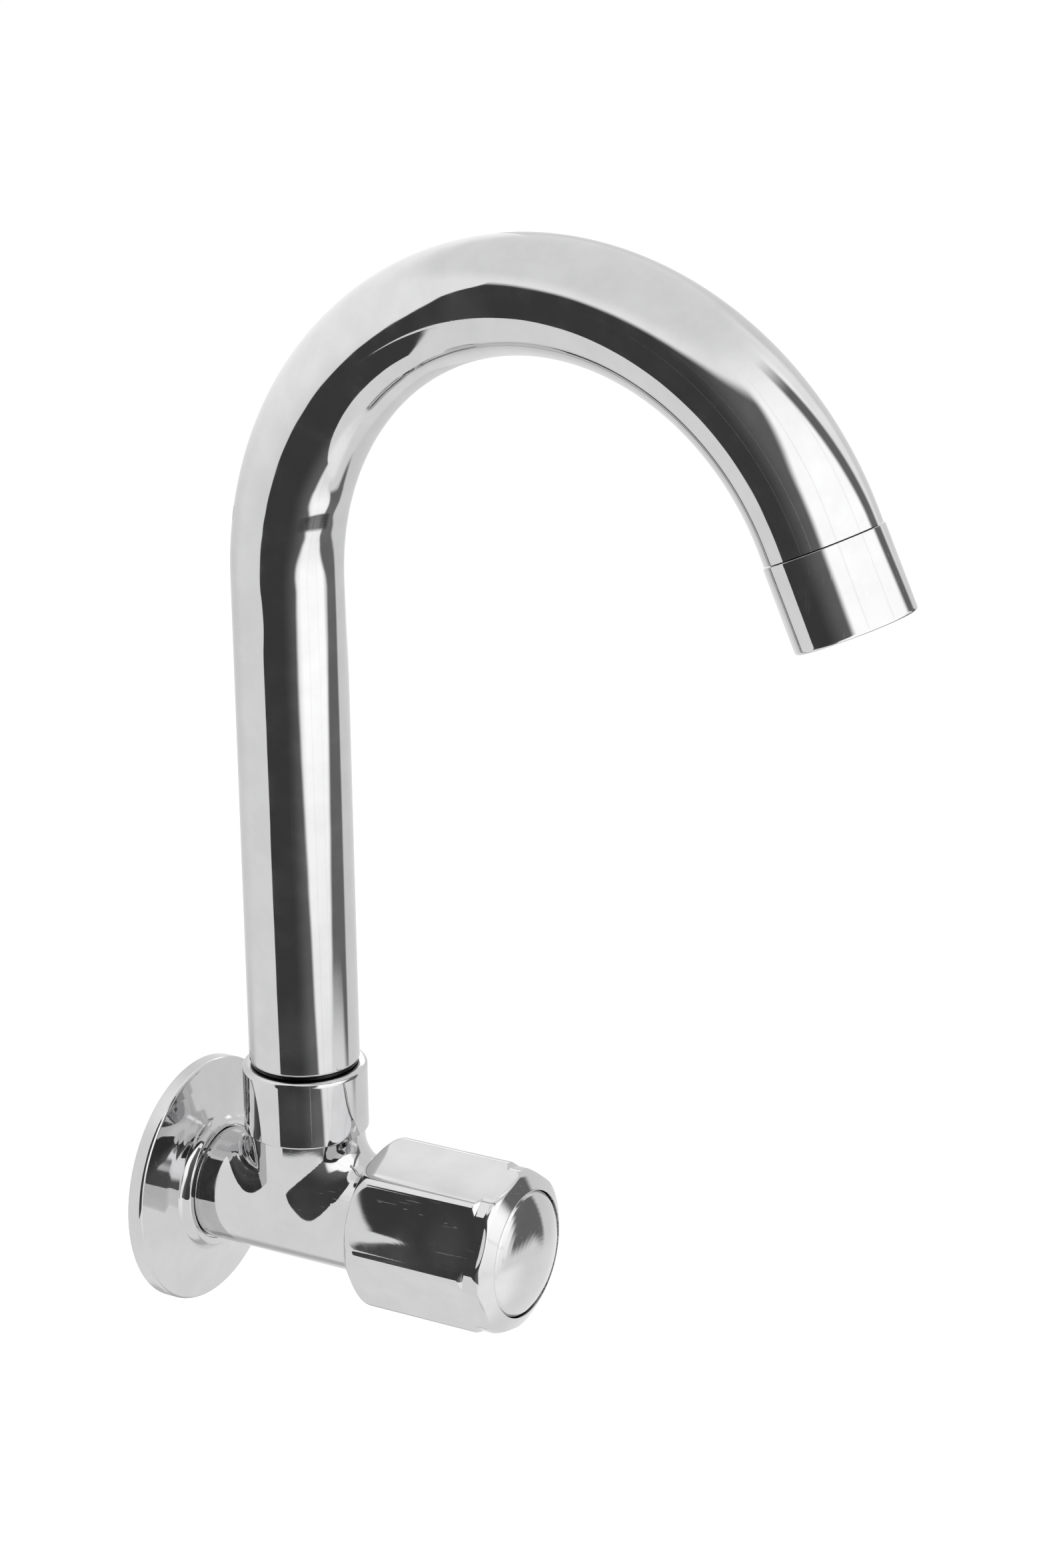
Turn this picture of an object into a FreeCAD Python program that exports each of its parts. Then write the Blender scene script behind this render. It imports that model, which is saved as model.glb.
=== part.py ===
import FreeCAD, Part
import math
import os
import re
import Sketcher

# Sink tap for a wall: an inlet and a screw-down valve on one level line,
# and a swan-neck spout that swings above them. Lengths are millimetres and angles degrees.
# The origin is on the inlet's line at the wall, +Y runs into the wall and +Z up.

# The driving sizes
SIZES = [
    ("thread_radius", 10.4775, "half-inch pipe thread, over its crests"),
    ("shank_length", 9.5, "threaded shank behind the wall plane"),
    ("shank_chamfer", 1, "lead-in at the end of the shank"),
    ("shoulder_setback", 0.5, "wall plane to the rear end of the barrel"),
    ("waterway_radius", 7, "bore from the inlet to the seat"),
    ("barrel_radius", 13.25, "level barrel of the body"),
    ("barrel_length", 54.5, "wall plane to the front end of the barrel"),
    ("riser_distance", 30.9, "wall plane to the axis of the spout"),
    ("neck_step", 0.1, "how much slimmer the neck is than the barrel"),
    ("tee_blend", 5, "round between the neck and the barrel"),
    ("neck_height", 28.4, "inlet axis to the top of the neck"),
    ("neck_thread_depth", 0.4, "how far the thread on the neck is turned down"),
    ("neck_bore", 10, "radius of the socket that the spout turns in"),
    ("neck_floor", 10.8, "inlet axis to the floor of that socket"),
    ("neck_passage", 7.4, "radius of the passage under that socket"),
    ("seat_distance", 24.5, "wall plane to the face of the valve seat"),
    ("seat_rise", 1.2, "how far the seat stands up in its chamber"),
    ("seat_wall", 1.5, "wall of the raised seat"),
    ("chamber_radius", 9.6, "valve chamber"),
    ("headwork_thread", 10.5, "radius of the thread that takes the headwork"),
    ("headwork_reach", 11, "depth of that thread"),
    ("thread_play", 0.05, "play in a screwed joint"),
    ("running_play", 0.06, "play between a shaft and its bore"),
    ("seal_play", 0.03, "between a ring seal and its bore"),
    ("flange_radius", 29.1, "wall flange"),
    ("flange_rim", 3.6, "height of its rim"),
    ("flange_edge", 0.8, "round on the edge of its rim"),
    ("flange_sheet", 1.2, "thickness of its sheet"),
    ("flange_rise", 1.3, "rise of its cone from the rim to the hub"),
    ("flange_hub", 20.5, "radius where the hub starts to rise"),
    ("hub_hollow", 6, "radius of the hollow curve of the hub"),
    ("lip_distance", 6.9, "wall plane to the foot of the lip"),
    ("lip_radius", 15, "foot of the lip"),
    ("lip_round", 0.85, "round of the lip"),
    ("flange_play", 0.1, "between the flange and the barrel"),
    ("collar_radius", 14.4, "swivel collar"),
    ("collar_base", 19.7, "inlet axis to the lower edge of the collar"),
    ("collar_rise", 7.3, "top of the neck to the top of the collar"),
    ("collar_round", 2.2, "round of its shoulder"),
    ("collar_lip", 2.4, "thickness of its inner lip"),
    ("collar_mouth", 12, "radius of the hole in that lip"),
    ("washer_thickness", 1, "slip washer"),
    ("tube_radius", 12.7, "spout tube"),
    ("tube_wall", 1.2, "wall of the spout tube"),
    ("tube_rise", 151, "inlet axis to the start of the bend"),
    ("bend_radius", 69.4, "bend, at the middle of the tube"),
    ("bend_turn", 155, "how far the tube bends over"),
    ("tube_tail", 3, "straight end of the tube past the bend"),
    ("spout_swing", 4.2, "how far the spout is swung to one side at rest"),
    ("ferrule_shoulder", 11.8, "radius of the ferrule under the tube"),
    ("ferrule_bore", 7, "bore of the ferrule"),
    ("ferrule_flange", 0.6, "thickness of its flange, under the tube"),
    ("ferrule_plug", 8, "how far it reaches into the tube"),
    ("ferrule_foot", 0.6, "from the socket floor to the ferrule"),
    ("ring_groove", 0.9, "depth of the groove for the snap ring"),
    ("ring_thickness", 1.5, "snap ring"),
    ("ring_radius", 12.7, "outside of the snap ring"),
    ("ring_gap", 30, "gap in the snap ring"),
    ("seal_section", 0.87, "radius of the cord of a spout seal"),
    ("seal_pitch", 5.5, "distance between the two spout seals"),
    ("seal_height", 15.5, "inlet axis to the lower spout seal"),
    ("nipple_length", 8, "each half of the threaded outlet nipple"),
    ("nipple_thread", 11.3, "radius of its thread"),
    ("nipple_bore", 9.5, "bore of the nipple"),
    ("aerator_radius", 13, "aerator shell"),
    ("aerator_length", 18.5, "aerator shell"),
    ("aerator_round", 0.7, "round at its mouth"),
    ("aerator_seam", 0.25, "thin joint between the tube and the shell"),
    ("aerator_ledge", 12, "seam to the ledge that holds the insert"),
    ("aerator_mouth", 10.6, "radius of its mouth"),
    ("aerator_washer_thickness", 1.5, "flat washer above the insert"),
    ("insert_drop", 5.6, "how far the insert reaches below the ledge"),
    ("screen_depth", 1, "recess for the screen"),
    ("screen_thickness", 0.4, "screen"),
    ("cell_size", 3.2, "across the flats of one cell of the insert"),
    ("cell_wall", 0.6, "wall between the cells"),
    ("screen_hole", 0.55, "radius of a hole in the screen"),
    ("screen_pitch", 2.1, "distance between holes in the screen"),
    ("washer_radius", 7.8, "valve washer"),
    ("valve_washer_thickness", 2.1, "valve washer"),
    ("seat_play", 0.05, "between the closed washer and its seat"),
    ("jumper_plate", 2, "thickness of the plate behind the washer"),
    ("jumper_stem", 2.95, "radius of the stem"),
    ("jumper_reach", 17, "length of the stem"),
    ("stud_radius", 1.95, "stud that holds the washer"),
    ("stud_length", 4.4, "stud, from the plate"),
    ("valve_nut", 6.4, "across the flats of the nut on the stud"),
    ("valve_nut_thickness", 2, "nut on the stud"),
    ("spindle_radius", 5.9, "threaded part of the spindle"),
    ("spindle_thread_length", 10.9, "length of that part"),
    ("spindle_lift", 4.5, "how far the spindle moves out when the tap is opened"),
    ("lift_play", 0.1, "left between its thread and the closed end then"),
    ("spindle_nose", 33, "wall plane to the rear end of the spindle"),
    ("spindle_nose_radius", 4.9, "rear end of the spindle"),
    ("spindle_neck", 4.6, "smooth part of the spindle"),
    ("spline_lead", 0.3, "how far the splined end starts behind the boss"),
    ("spline_gap", 1.7, "splined end to the front of the boss"),
    ("spline_radius", 3.9, "splined end, over the teeth"),
    ("spline_depth", 0.45, "depth of a spline groove"),
    ("spline_count", 20, "teeth of the spline"),
    ("headwork_flange", 12.4, "flange of the headwork"),
    ("headwork_flange_thickness", 1.7, "flange of the headwork"),
    ("fibre_washer_thickness", 0.8, "fibre washer under that flange"),
    ("headwork_hex", 21, "across the flats of the headwork"),
    ("headwork_hex_length", 5, "length of its hexagon"),
    ("headwork_skirt", 8, "bore of the skirt round the jumper"),
    ("skirt_depth", 4.8, "depth of that bore"),
    ("guide_length", 1.5, "closed end of the threaded bore"),
    ("gland_radius", 7, "threaded nose for the gland nut"),
    ("gland_length", 4.8, "length of that nose"),
    ("packing_radius", 6.2, "packing box"),
    ("packing_depth", 3.6, "depth of the packing box"),
    ("packing_length", 2, "gland packing"),
    ("gland_nut_hex", 17, "across the flats of the gland nut"),
    ("gland_nut_cover", 1.6, "closed end of the gland nut"),
    ("gland_nut_grip", 3, "screwed length of the gland nut"),
    ("knob_distance", 49.2, "wall plane to the rear edge of the knob"),
    ("knob_mouth", 13.75, "rear opening of the knob"),
    ("knob_edge", 0.45, "width of the rear edge"),
    ("knob_slope", 59, "slope of the rear cone"),
    ("knob_shoulder", 4.2, "round from the rear cone to the grip"),
    ("knob_radius", 20.05, "knob, over its ridges"),
    ("knob_grip_end", 82.3, "wall plane to the front end of the ridges"),
    ("knob_band", 19.05, "radius of the band in front of the ridges"),
    ("knob_band_end", 86.1, "wall plane to the front end of that band"),
    ("knob_front_round", 1, "round from the band to the front cone"),
    ("knob_front_slope", 63, "slope of the front cone"),
    ("knob_face", 88.95, "wall plane to the front rim of the knob"),
    ("flute_count", 7, "flutes round the knob"),
    ("flute_valley", 17.7, "knob, at the bottom of a flute"),
    ("flute_curve", 60, "radius of a flute across the knob"),
    ("flute_runout", 4, "radius at the front end of a flute"),
    ("flute_end", 85.8, "wall plane to where a flute starts to run out"),
    ("knob_turn", 12.3, "angle of the first flute from the top at rest"),
    ("knob_cavity", 15.4, "radius inside the knob"),
    ("knob_cavity_start", 54, "wall plane to the full width of the cavity"),
    ("knob_web", 3, "thickness of the web that carries the boss"),
    ("knob_web_front", 79, "wall plane to the front of the web"),
    ("boss_radius", 7, "boss in the knob"),
    ("boss_gap", 0.8, "rear end of the boss to the gland nut"),
    ("boss_front", 80, "wall plane to the front of the boss"),
    ("screw_radius", 1.95, "thread of the knob screw"),
    ("screw_length", 9, "knob screw below its head"),
    ("screw_head_radius", 3.9, "head of the knob screw"),
    ("screw_head_height", 2.4, "head of the knob screw"),
    ("screw_slot", 1, "width of its slot"),
    ("screw_slot_depth", 1.2, "depth of its slot"),
    ("screw_play", 0.35, "round the screw in the knob"),
    ("cap_radius", 14.6, "index cap"),
    ("cap_rim", 3.2, "thickness of its rim"),
    ("cap_bulge", 3.75, "how far its dome stands out of the rim"),
    ("cap_dome", 28, "radius of its dome"),
    ("cap_sheet", 1.3, "thickness of its dome"),
    ("cap_skirt", 13.1, "radius of its clip skirt"),
    ("cap_skirt_length", 4, "length of the clip skirt"),
    ("cap_play", 0.1, "round the cap in the knob"),
]
NAMES = {alias for alias, value, meaning in SIZES}

doc = FreeCAD.newDocument("sink_tap")
sheet = doc.addObject("Spreadsheet::Sheet", "Sizes")
for row, (alias, value, meaning) in enumerate(SIZES, 1):
    sheet.set(f"A{row}", meaning)
    sheet.set(f"B{row}", str(value))
    sheet.setAlias(f"B{row}", alias)
doc.recompute()
parts = []


# Expressions in the names of the sheet
def bound(expression):
    def named(word):
        return "Sizes." + word.group() if word.group() in NAMES else word.group()
    return re.sub(r"[a-z_]+", named, str(expression))


def value(expression):
    return float(sheet.evalExpression(bound(expression)))


# A body whose place is bound to the sheet
def piece(name, place):
    body = doc.addObject("PartDesign::Body", name)
    body.Label = name
    x, y, z, yaw, pitch, roll = (bound(term) for term in place)
    body.setExpression("Placement", f"placement(vector({x}; {y}; {z}); rotation({yaw}; {pitch}; {roll}))")
    parts.append(body)
    return body


# Pieces on the level line: their own X runs from the wall to the front, and their Y up
LEVEL = ("0", "0", "0", "-90", "0", "90")
LEVEL_KNOB = ("0", "0", "0", "-90", "0", "90 + knob_turn")
# Pieces on the spout's axis: their own Z is up, and X points the way the spout does
UPRIGHT = ("0", "-riser_distance", "0", "-90 - spout_swing", "0", "0")
# Pieces at the outlet: their own Z runs up the tube from its end
TUBE_END = "bend_radius * (1 - cos(bend_turn)) + tube_tail * sin(bend_turn)"
OUTLET = (
    f"-({TUBE_END}) * sin(spout_swing)",
    f"-riser_distance - ({TUBE_END}) * cos(spout_swing)",
    "tube_rise + bend_radius * sin(bend_turn) + tube_tail * cos(bend_turn)",
    "-90 - spout_swing",
    "bend_turn - 180",
    "0",
)


def origin_feature(body, role):
    return [item for item in body.Origin.OriginFeatures if item.Role == role][0]


def empty_sketch(body, name, plane, lift="0"):
    drawing = body.newObject("Sketcher::SketchObject", name)
    drawing.AttachmentSupport = [(origin_feature(body, plane), "")]
    drawing.MapMode = "FlatFace"
    drawing.setExpression("AttachmentOffset.Base.z", bound(lift))
    return drawing


# One closed outline. A corner is (x, y), or (x, y, side, radius) where an arc leaves it
# whose centre lies on that side of the way to the next corner.
def add_outline(drawing, corners):
    places = [FreeCAD.Vector(value(corner[0]), value(corner[1]), 0) for corner in corners]
    first = drawing.GeometryCount
    edges = []
    for index, corner in enumerate(corners):
        start = places[index]
        end = places[(index + 1) % len(corners)]
        if len(corner) == 2:
            edges.append(Part.LineSegment(start, end))
            continue
        side = 1 if corner[2] == "left" else -1
        radius = value(corner[3])
        along = end - start
        across = FreeCAD.Vector(-along.y, along.x, 0).normalize() * side
        depth = math.sqrt(max(radius ** 2 - (along.Length / 2) ** 2, 0))
        centre = start + along / 2 + across * depth
        edges.append(Part.Arc(start, centre - across * radius, end))
    drawing.addGeometry(edges, False)
    rules = []
    terms = []
    for index, corner in enumerate(corners):
        edge = first + index
        following = first + (index + 1) % len(corners)
        begin, finish = 1, 2
        if len(corner) == 4 and corner[2] == "right":
            begin, finish = 2, 1
        next_corner = corners[(index + 1) % len(corners)]
        next_begin = 2 if len(next_corner) == 4 and next_corner[2] == "right" else 1
        rules.append(Sketcher.Constraint("Coincident", edge, finish, following, next_begin))
        terms.append(None)
        rules.append(Sketcher.Constraint("DistanceX", -1, 1, edge, begin, places[index].x))
        terms.append(corner[0])
        rules.append(Sketcher.Constraint("DistanceY", -1, 1, edge, begin, places[index].y))
        terms.append(corner[1])
        if len(corner) == 4:
            rules.append(Sketcher.Constraint("Radius", edge, value(corner[3])))
            terms.append(corner[3])
    bind(drawing, rules, terms)


def bind(drawing, rules, terms):
    numbers = drawing.addConstraint(rules)
    numbers = numbers if isinstance(numbers, (list, tuple)) else [numbers]
    for number, term in zip(numbers, terms):
        if term is not None:
            drawing.setExpression(f"Constraints[{number}]", bound(term))


def add_circle(drawing, x, y, radius):
    centre = FreeCAD.Vector(value(x), value(y), 0)
    number = drawing.addGeometry(Part.Circle(centre, FreeCAD.Vector(0, 0, 1), value(radius)), False)
    rules = [
        Sketcher.Constraint("DistanceX", -1, 1, number, 3, centre.x),
        Sketcher.Constraint("DistanceY", -1, 1, number, 3, centre.y),
        Sketcher.Constraint("Radius", number, value(radius)),
    ]
    bind(drawing, rules, [x, y, radius])


# A line that a profile turns about, from one place to another
def add_axis(drawing, start, end):
    ends = [FreeCAD.Vector(value(x), value(y), 0) for x, y in (start, end)]
    number = drawing.addGeometry(Part.LineSegment(*ends), True)
    rules = []
    for point, place in enumerate(ends, 1):
        rules.append(Sketcher.Constraint("DistanceX", -1, 1, number, point, place.x))
        rules.append(Sketcher.Constraint("DistanceY", -1, 1, number, point, place.y))
    bind(drawing, rules, [*start, *end])


# A turned profile, added to the body or cut from it
def turned(body, name, corners, plane="XY_Plane", about="H_Axis", cut=False, axis=None,
           angle="360", lift="0"):
    drawing = empty_sketch(body, name + "_profile", plane, lift=lift)
    if axis:
        add_axis(drawing, *axis)
        about = "Axis0"
    add_outline(drawing, corners)
    kind = "PartDesign::Groove" if cut else "PartDesign::Revolution"
    before = body.Shape.Volume if cut else 0
    feature = body.newObject(kind, name)
    feature.Profile = drawing
    feature.ReferenceAxis = (drawing, [about])
    feature.setExpression("Angle", bound(angle))
    doc.recompute()
    if cut and not body.Shape.Volume < before:
        raise ValueError(name + " cuts nothing")
    return feature


def turned_upright(body, name, corners, **options):
    return turned(body, name, corners, plane="XZ_Plane", about="V_Axis", **options)


# A straight prism from a plane, in the plane's own direction or against it
def prism(body, name, drawing, length, cut=False, reverse=False):
    before = body.Shape.Volume if cut else 0
    feature = body.newObject("PartDesign::Pocket" if cut else "PartDesign::Pad", name)
    feature.Profile = drawing
    feature.setExpression("Length", bound(length))
    feature.Reversed = reverse
    doc.recompute()
    if cut and not body.Shape.Volume < before:
        raise ValueError(name + " cuts nothing")
    return feature


def hexagon(drawing, flats, x="0", y="0"):
    corners = [(f"{x} + {flats} / sqrt(3) * cos({60 * k})", f"{y} + {flats} / sqrt(3) * sin({60 * k})")
               for k in range(6)]
    add_outline(drawing, corners)


# Copies of a feature round the body's own axis
def around(body, name, feature, role, count):
    pattern = body.newObject("PartDesign::PolarPattern", name)
    pattern.Originals = [feature]
    pattern.Axis = (origin_feature(body, role), [""])
    pattern.Angle = 360
    pattern.setExpression("Occurrences", bound(count))
    body.Tip = pattern
    doc.recompute()
    return pattern


# Cast brass body: threaded shank, level barrel and upright neck, blended where they cross
def make_tap_body():
    body = piece("tap_body", LEVEL)
    turned(body, "shank_and_barrel", [
        ("-shank_length", "0"),
        ("-shank_length", "thread_radius - shank_chamfer"),
        ("shank_chamfer - shank_length", "thread_radius"),
        ("shoulder_setback", "thread_radius"),
        ("shoulder_setback", "barrel_radius"),
        ("barrel_length", "barrel_radius"),
        ("barrel_length", "0"),
    ], plane="XZ_Plane")
    neck = "barrel_radius - neck_step"
    crossing = turned(body, "neck", [
        ("0", "0"),
        ("0", neck),
        ("collar_base", neck),
        ("collar_base", neck + " - neck_thread_depth"),
        ("neck_height", neck + " - neck_thread_depth"),
        ("neck_height", "0"),
    ], plane="YZ_Plane", lift="riser_distance")
    crease = [f"Edge{number}" for number, edge in enumerate(crossing.Shape.Edges, 1)
              if edge.Curve.TypeId == "Part::GeomBSplineCurve"]
    blend = body.newObject("PartDesign::Fillet", "tee_blend_round")
    blend.Base = (crossing, crease)
    blend.setExpression("Radius", bound("tee_blend"))
    doc.recompute()
    seat_ring = "waterway_radius + seat_wall"
    turned(body, "waterway", [
        ("-shank_length", "0"),
        ("-shank_length", "waterway_radius"),
        ("seat_distance", "waterway_radius"),
        ("seat_distance", seat_ring),
        ("seat_distance - seat_rise", seat_ring),
        ("seat_distance - seat_rise", "chamber_radius"),
        ("barrel_length - headwork_reach", "chamber_radius"),
        ("barrel_length - headwork_reach", "headwork_thread"),
        ("barrel_length", "headwork_thread"),
        ("barrel_length", "0"),
    ], cut=True)
    turned(body, "spout_socket", [
        ("0", "0"),
        ("0", "neck_passage"),
        ("neck_floor", "neck_passage"),
        ("neck_floor", "neck_bore"),
        ("neck_height", "neck_bore"),
        ("neck_height", "0"),
    ], cut=True, plane="YZ_Plane", lift="riser_distance")


# Pressed wall flange: a rim, a shallow cone and a hub that ends in a rolled lip round the barrel
def make_wall_flange():
    body = piece("wall_flange", LEVEL)
    bore = "barrel_radius + flange_play"
    turned(body, "sheet", [
        ("0", "flange_radius"),
        ("flange_rim - flange_edge", "flange_radius", "right", "flange_edge"),
        ("flange_rim", "flange_radius - flange_edge"),
        ("flange_rim + flange_rise", "flange_hub", "left", "hub_hollow"),
        ("lip_distance", "lip_radius", "right", "lip_round"),
        ("lip_distance + lip_round", "lip_radius - lip_round"),
        ("lip_distance + lip_round", bore),
        ("lip_distance - flange_sheet", bore),
        ("lip_distance - flange_sheet", "lip_radius - flange_sheet / 2", "right", "hub_hollow"),
        ("flange_rim + flange_rise - flange_sheet", "flange_hub"),
        ("flange_rim - flange_sheet", "flange_radius - 2 * flange_sheet"),
        ("0", "flange_radius - flange_sheet"),
    ])


# Collar nut: screwed on the neck, its inner lip traps the snap ring of the spout
COLLAR_TOP = "neck_height + collar_rise"


def make_swivel_collar():
    body = piece("swivel_collar", UPRIGHT)
    bore = "barrel_radius - neck_step - neck_thread_depth + thread_play"
    turned_upright(body, "nut", [
        (bore, "collar_base"),
        ("collar_radius", "collar_base"),
        ("collar_radius", f"{COLLAR_TOP} - collar_round", "left", "collar_round"),
        ("collar_radius - collar_round", COLLAR_TOP),
        ("collar_mouth", COLLAR_TOP),
        ("collar_mouth", f"{COLLAR_TOP} - collar_lip"),
        (bore, f"{COLLAR_TOP} - collar_lip"),
    ])


TUBE_FOOT = COLLAR_TOP + " + 5 * running_play + ferrule_flange"
RING_TOP = COLLAR_TOP + " - collar_lip - seat_play - washer_thickness"


# Spout tube: rises, bends over in one long arc and ends in a short straight tail
def make_spout_tube():
    body = piece("spout_tube", UPRIGHT)
    path = empty_sketch(body, "tube_line", "XZ_Plane")
    arc_x = "bend_radius * (1 - cos(bend_turn))"
    arc_z = "tube_rise + bend_radius * sin(bend_turn)"
    end_x = arc_x + " + tube_tail * sin(bend_turn)"
    end_z = arc_z + " + tube_tail * cos(bend_turn)"
    places = [FreeCAD.Vector(value(x), value(z), 0)
              for x, z in (("0", TUBE_FOOT), ("0", "tube_rise"), (arc_x, arc_z), (end_x, end_z))]
    radius = value("bend_radius")
    half = math.radians(value("bend_turn") / 2)
    crown = FreeCAD.Vector(radius * (1 - math.cos(half)), value("tube_rise") + radius * math.sin(half), 0)
    path.addGeometry([
        Part.LineSegment(places[0], places[1]),
        Part.Arc(places[1], crown, places[2]),
        Part.LineSegment(places[2], places[3]),
    ], False)
    rules = [
        Sketcher.Constraint("DistanceX", -1, 1, 0, 1, places[0].x),
        Sketcher.Constraint("DistanceY", -1, 1, 0, 1, places[0].y),
        Sketcher.Constraint("DistanceX", -1, 1, 0, 2, places[1].x),
        Sketcher.Constraint("DistanceY", -1, 1, 0, 2, places[1].y),
        Sketcher.Constraint("Coincident", 0, 2, 1, 2),
        Sketcher.Constraint("DistanceX", -1, 1, 1, 1, places[2].x),
        Sketcher.Constraint("DistanceY", -1, 1, 1, 1, places[2].y),
        Sketcher.Constraint("Radius", 1, radius),
        Sketcher.Constraint("Coincident", 1, 1, 2, 1),
        Sketcher.Constraint("DistanceX", -1, 1, 2, 2, places[3].x),
        Sketcher.Constraint("DistanceY", -1, 1, 2, 2, places[3].y),
    ]
    terms = ["0", TUBE_FOOT, "0", "tube_rise", None, arc_x, arc_z, "bend_radius", None, end_x, end_z]
    bind(path, rules, terms)
    section = empty_sketch(body, "tube_section", "XY_Plane", lift=TUBE_FOOT)
    add_circle(section, "0", "0", "tube_radius")
    add_circle(section, "0", "0", "tube_radius - tube_wall")
    doc.recompute()
    bend = body.newObject("PartDesign::AdditivePipe", "bent_tube")
    bend.Profile = section
    bend.Spine = path
    doc.recompute()


# Ferrule: brazed in the foot of the tube, it turns in the socket on two ring seals
SEAL_FLOOR = "neck_bore - seal_play - 2 * seal_section - seal_play"


def make_spout_ferrule():
    body = piece("spout_ferrule", UPRIGHT)
    barrel = "neck_bore - running_play"
    shoulder = "neck_height + seat_play + washer_thickness"
    groove = "ferrule_shoulder - ring_groove"
    width = "seal_section * 1.15"
    seals = []
    for height in ("seal_height", "seal_height + seal_pitch"):
        seals += [
            (barrel, f"{height} - {width}"),
            (SEAL_FLOOR, f"{height} - {width}"),
            (SEAL_FLOOR, f"{height} + {width}"),
            (barrel, f"{height} + {width}"),
        ]
    turned_upright(body, "ferrule", [
        ("ferrule_bore", "neck_floor + ferrule_foot"),
        (barrel, "neck_floor + ferrule_foot"),
        *seals,
        (barrel, shoulder),
        ("ferrule_shoulder", shoulder),
        ("ferrule_shoulder", f"{RING_TOP} - ring_thickness"),
        (groove, f"{RING_TOP} - ring_thickness"),
        (groove, RING_TOP),
        ("ferrule_shoulder", RING_TOP),
        ("ferrule_shoulder", f"{TUBE_FOOT} - ferrule_flange"),
        ("tube_radius - tube_wall / 4", f"{TUBE_FOOT} - ferrule_flange"),
        ("tube_radius - tube_wall / 4", TUBE_FOOT),
        ("tube_radius - tube_wall", TUBE_FOOT),
        ("tube_radius - tube_wall", f"{TUBE_FOOT} + ferrule_plug"),
        ("ferrule_bore", f"{TUBE_FOOT} + ferrule_plug"),
    ])


# Two ring seals in the grooves of the ferrule
def make_spout_seals():
    body = piece("spout_o_rings", UPRIGHT)
    for name, height in (("lower_seal", "seal_height"), ("upper_seal", "seal_height + seal_pitch")):
        drawing = empty_sketch(body, name + "_profile", "XZ_Plane")
        add_circle(drawing, "neck_bore - seal_play - seal_section", height, "seal_section")
        ring = body.newObject("PartDesign::Revolution", name)
        ring.Profile = drawing
        ring.ReferenceAxis = (drawing, ["V_Axis"])
        ring.Angle = 360
        doc.recompute()


# Slip washers: one under the ferrule's shoulder, one between the snap ring and the collar
def make_slip_washers():
    body = piece("slip_washers", UPRIGHT)
    outer = "ring_radius"
    for name, inner, low in (
        ("lower_washer", "neck_bore + running_play", "neck_height + seat_play"),
        ("upper_washer", "ferrule_shoulder + running_play", RING_TOP),
    ):
        turned_upright(body, name, [
            (inner, low),
            (outer, low),
            (outer, f"{low} + washer_thickness"),
            (inner, f"{low} + washer_thickness"),
        ])


# Split snap ring in the upper groove of the ferrule
def make_snap_ring():
    body = piece("snap_ring", UPRIGHT)
    inner = "ferrule_shoulder - ring_groove"
    turned_upright(body, "ring", [
        (inner, f"{RING_TOP} - ring_thickness"),
        ("ring_radius", f"{RING_TOP} - ring_thickness"),
        ("ring_radius", RING_TOP),
        (inner, RING_TOP),
    ], angle="360 - ring_gap")


# Threaded nipple: brazed in the end of the tube, the aerator screws on it
def make_outlet_nipple():
    body = piece("outlet_nipple", OUTLET)
    turned_upright(body, "nipple", [
        ("nipple_bore", "-nipple_length"),
        ("nipple_thread", "-nipple_length"),
        ("nipple_thread", "0"),
        ("tube_radius - tube_wall", "0"),
        ("tube_radius - tube_wall", "nipple_length"),
        ("nipple_bore", "nipple_length"),
    ])


# Aerator shell with a ledge above its mouth
def make_aerator_shell():
    body = piece("aerator_shell", OUTLET)
    low = "-aerator_seam - aerator_length"
    turned_upright(body, "shell", [
        ("nipple_thread + thread_play", "-aerator_ledge"),
        ("aerator_mouth", "-aerator_ledge"),
        ("aerator_mouth", f"{low} + aerator_round / 2"),
        ("aerator_mouth + aerator_round / 2", low),
        ("aerator_radius - aerator_round", low, "left", "aerator_round"),
        ("aerator_radius", f"{low} + aerator_round"),
        ("aerator_radius", "-aerator_seam"),
        ("nipple_thread + thread_play", "-aerator_seam"),
    ])


# Flat rubber washer between the nipple and the insert
def make_aerator_washer():
    body = piece("aerator_washer", OUTLET)
    turned_upright(body, "washer", [
        ("nipple_bore", "-nipple_length - aerator_washer_thickness"),
        ("nipple_thread - thread_play", "-nipple_length - aerator_washer_thickness"),
        ("nipple_thread - thread_play", "-nipple_length"),
        ("nipple_bore", "-nipple_length"),
    ])


# Moulded insert: a flange on the ledge, and a comb of six-sided cells that smooths the jet
def make_aerator_insert():
    body = piece("aerator_insert", OUTLET)
    top = "-nipple_length - aerator_washer_thickness"
    turned_upright(body, "insert", [
        ("0", "-aerator_ledge - insert_drop"),
        ("aerator_mouth - running_play", "-aerator_ledge - insert_drop"),
        ("aerator_mouth - running_play", "-aerator_ledge"),
        ("nipple_thread - thread_play", "-aerator_ledge"),
        ("nipple_thread - thread_play", top),
        ("nipple_bore", top),
        ("nipple_bore", f"{top} - screen_depth"),
        ("0", f"{top} - screen_depth"),
    ])
    cells = empty_sketch(body, "cell_outlines", "XY_Plane", lift="-aerator_ledge - insert_drop")
    for column in range(-2, 3):
        for line in range(-2, 3):
            if abs(column + line) > 2:
                continue
            hexagon(cells, "cell_size", x=f"(cell_size + cell_wall) * sqrt(3) / 2 * ({column})",
                    y=f"(cell_size + cell_wall) * ({line} + ({column}) / 2)")
    prism(body, "cells", cells, "aerator_ledge + insert_drop", cut=True, reverse=True)


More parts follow.
